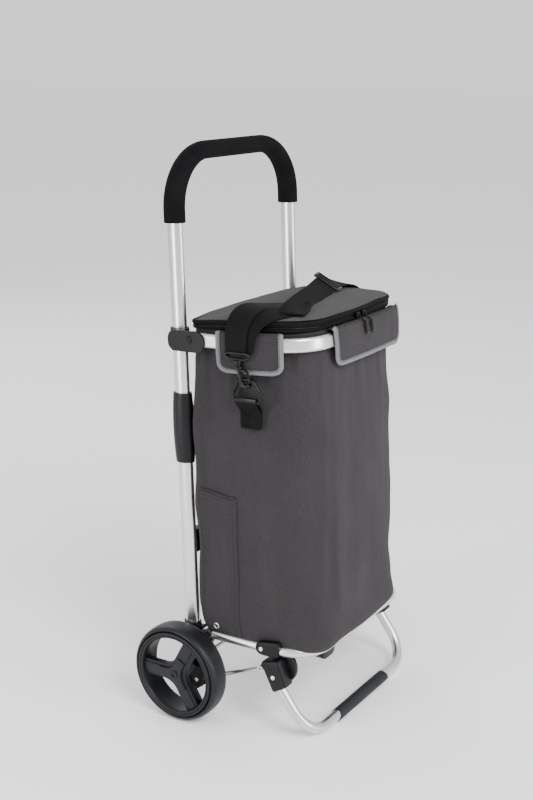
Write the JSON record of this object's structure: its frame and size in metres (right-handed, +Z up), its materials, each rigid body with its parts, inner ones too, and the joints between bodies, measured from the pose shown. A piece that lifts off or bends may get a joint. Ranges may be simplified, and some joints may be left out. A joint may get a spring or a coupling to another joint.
{
  "type": "folding shopping trolley",
  "caption": "Upright two-wheel shopping trolley: folding oval-tube frame, drop-down platform and stand, and a tall fabric bag with a zipped lid and clip-on strap.",
  "frame": {"origin": "on the floor, at the middle of the whole trolley's box", "axes": "+Z up, +X to the right, front towards -Y; the wheels turn about X"},
  "size_m": [0.4744, 0.3268, 0.9559],
  "materials": {
    "aluminium_tube": "satin anodised",
    "steel": "zinc plated",
    "rivet": "domed zinc",
    "black_plastic": "fine moulded grain",
    "foam": "matt closed-cell foam",
    "stand_rubber": "matt",
    "tyre": "smooth matt",
    "wheel_plastic": "moulded",
    "bag_fabric": "coated plain weave",
    "webbing": "ribbed webbing",
    "black_metal": "black enamel",
    "eyelet": "nickelled"
  },
  "bodies": {
    "lower_frame": {"upright_left": "aluminium_tube", "upright_right": "aluminium_tube", "hinge_tongue_left": "steel", "hinge_tongue_right": "steel", "hinge_pins": "steel", "axle_bracket_left": "black_plastic", "axle_bracket_right": "black_plastic", "bracket_rivets": "rivet", "axle": "steel", "axle_spacers": "black_plastic", "cross_brace": "black_plastic"},
    "handle_frame": {"handle_tube": "aluminium_tube", "handle_grip": "foam", "hinge_fork_left": "steel", "hinge_fork_right": "steel", "hoop_clamp_left": "black_plastic", "hoop_clamp_right": "black_plastic", "hoop_rivets": "rivet", "bag_shell": "bag_fabric", "base_board": "black_plastic", "zip_band": "webbing", "hoop_flaps": "bag_fabric", "side_pockets": "bag_fabric", "pocket_eyelets": "eyelet", "strap_tabs": "webbing", "strap_rings": "black_metal"},
    "lock_left": {"lock_sleeve_left": "black_plastic"},
    "lock_right": {"lock_sleeve_right": "black_plastic"},
    "hoop": {"bag_hoop": "aluminium_tube"},
    "platform": {"platform_hoop": "aluminium_tube", "knuckle_left": "black_plastic", "knuckle_right": "black_plastic", "knuckle_rivets": "rivet", "front_clip": "black_plastic"},
    "stand": {"stand_tube": "aluminium_tube", "stand_sleeve": "stand_rubber", "stand_socket_left": "black_plastic", "stand_socket_right": "black_plastic"},
    "stay_left_body": {"stay_left": "steel"},
    "stay_right_body": {"stay_right": "steel"},
    "wheel_left": {"tyre_left": "tyre", "rim_left": "wheel_plastic", "hub_cap_left": "wheel_plastic", "bush_left": "wheel_plastic"},
    "wheel_right": {"tyre_right": "tyre", "rim_right": "wheel_plastic", "hub_cap_right": "wheel_plastic", "bush_right": "wheel_plastic"},
    "lid_body": {"lid": "bag_fabric", "lid_strap": "webbing", "strap_adjuster": "black_metal", "snap_hook_left": "black_metal", "snap_hook_right": "black_metal"},
    "gate_left": {"hook_gate_left": "black_metal"},
    "gate_right": {"hook_gate_right": "black_metal"},
    "slider_left": {"zip_slider_left": "black_metal"},
    "slider_right": {"zip_slider_right": "black_metal"}
  },
  "joints": [
    {"name": "wheel_left_spin", "type": "hinge", "parent": "lower_frame", "child": "wheel_left", "pos_m": [-0.212, 0.07837, 0.085], "axis": [1, 0, 0], "continuous": true},
    {"name": "wheel_right_spin", "type": "hinge", "parent": "lower_frame", "child": "wheel_right", "pos_m": [0.212, 0.07837, 0.085], "axis": [1, 0, 0], "continuous": true},
    {"name": "platform_fold", "type": "hinge", "parent": "lower_frame", "child": "platform", "pos_m": [0, 0.05523, 0.14278], "axis": [-1, 0, 0], "range_deg": [0, 85], "deforming": ["bag_shell", "base_board", "zip_band", "hoop_flaps", "side_pockets", "pocket_eyelets", "strap_tabs", "strap_rings"]},
    {"name": "stand_fold", "type": "hinge", "parent": "platform", "child": "stand", "pos_m": [0, -0.0907, 0.1165], "axis": [-1, 0, 0], "range_deg": [0, 61]},
    {"name": "stay_left_swing", "type": "hinge", "parent": "lower_frame", "child": "stay_left_body", "pos_m": [-0.17, 0.0694, 0.05527], "axis": [-1, 0, 0], "range_deg": [0, 45]},
    {"name": "stay_right_swing", "type": "hinge", "parent": "lower_frame", "child": "stay_right_body", "pos_m": [0.17, 0.0694, 0.05527], "axis": [-1, 0, 0], "range_deg": [0, 45]},
    {"name": "hoop_fold", "type": "hinge", "parent": "handle_frame", "child": "hoop", "pos_m": [0, 0.06682, 0.65467], "axis": [1, 0, 0], "range_deg": [0, 90]},
    {"name": "handle_fold", "type": "hinge", "parent": "lower_frame", "child": "handle_frame", "pos_m": [0, 0.10192, 0.45643], "axis": [-1, 0, 0], "range_deg": [0, 110]},
    {"name": "lock_left_slide", "type": "slide", "parent": "handle_frame", "child": "lock_left", "axis": [0, 0.0324, 0.9995], "range_m": [0, 0.07]},
    {"name": "lock_right_slide", "type": "slide", "parent": "handle_frame", "child": "lock_right", "axis": [0, 0.0324, 0.9995], "range_m": [0, 0.07]},
    {"name": "lid_open", "type": "hinge", "parent": "handle_frame", "child": "lid_body", "pos_m": [0, 0.07797, 0.68973], "axis": [-1, 0, 0], "range_deg": [0, 70]},
    {"name": "gate_left_swing", "type": "hinge", "parent": "lid_body", "child": "gate_left", "pos_m": [-0.191, -0.04861, 0.59989], "axis": [-1, 0, 0], "range_deg": [0, 20], "stiffness_Nm_per_rad": 0.05},
    {"name": "gate_right_swing", "type": "hinge", "parent": "lid_body", "child": "gate_right", "pos_m": [0.191, -0.04861, 0.59989], "axis": [-1, 0, 0], "range_deg": [0, 20], "stiffness_Nm_per_rad": 0.05},
    {"name": "zip_left_slide", "type": "slide", "parent": "handle_frame", "child": "slider_left", "axis": [-1, 0, 0], "range_m": [0, 0.04]},
    {"name": "zip_right_slide", "type": "slide", "parent": "handle_frame", "child": "slider_right", "axis": [1, 0, 0], "range_m": [0, 0.04]}
  ],
  "couplings": [
    {"joint": "stand_fold", "follows": "platform_fold", "ratio": 0.71765},
    {"joint": "stay_left_swing", "follows": "platform_fold", "ratio": 0.52941},
    {"joint": "stay_right_swing", "follows": "platform_fold", "ratio": 0.52941},
    {"joint": "hoop_fold", "follows": "platform_fold", "ratio": 1.0588},
    {"joint": "lock_left_slide", "follows": "handle_fold", "m_per_rad": 0.03646},
    {"joint": "lock_right_slide", "follows": "handle_fold", "m_per_rad": 0.03646}
  ]
}
